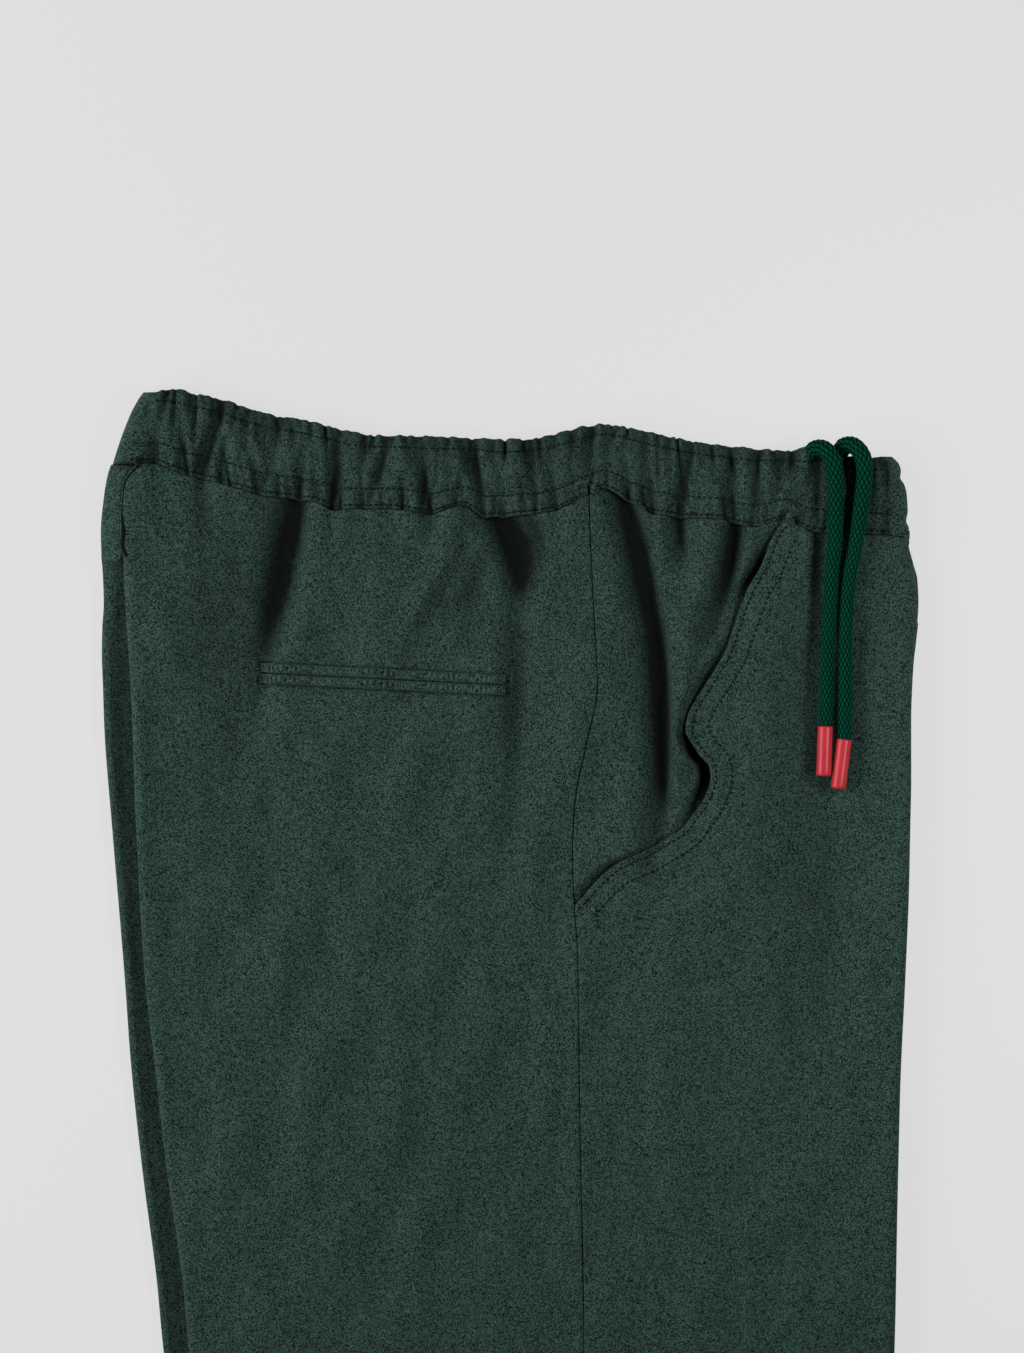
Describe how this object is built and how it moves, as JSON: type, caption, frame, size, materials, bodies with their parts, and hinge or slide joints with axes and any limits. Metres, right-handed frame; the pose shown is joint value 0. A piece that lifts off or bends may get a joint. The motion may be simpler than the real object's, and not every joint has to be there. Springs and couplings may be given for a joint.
{
  "type": "drawstring trousers",
  "caption": "Linen drawstring trousers folded lengthwise and laid flat, with a gathered casing waist, slanted side pocket, welted back pocket and tipped cord ends.",
  "frame": {"origin": "middle of the laid garment's outline, without the cord ends, on the surface that it lies on", "axes": "+X across the garment to its front (centre front seam), +Y up the garment to the waist, +Z off the surface"},
  "size_m": [0.4582, 1.0649, 0.0263],
  "materials": {
    "linen": "dark green slubby plain weave",
    "cord": "round braid, slightly glossy thread",
    "tip": "satin red"
  },
  "bodies": {
    "root": {"right_back_panel": "linen", "right_front_panel": "linen", "right_pocket_facing": "linen", "left_back_panel": "linen", "left_front_panel": "linen", "hidden_layers": "linen", "waistband": "linen", "right_hem": "linen", "left_hem": "linen", "back_pocket_upper_welt": "linen", "back_pocket_lower_welt": "linen", "cord_inner": "cord", "cord_outer": "cord", "tip_inner": "tip", "tip_outer": "tip"}
  },
  "joints": []
}
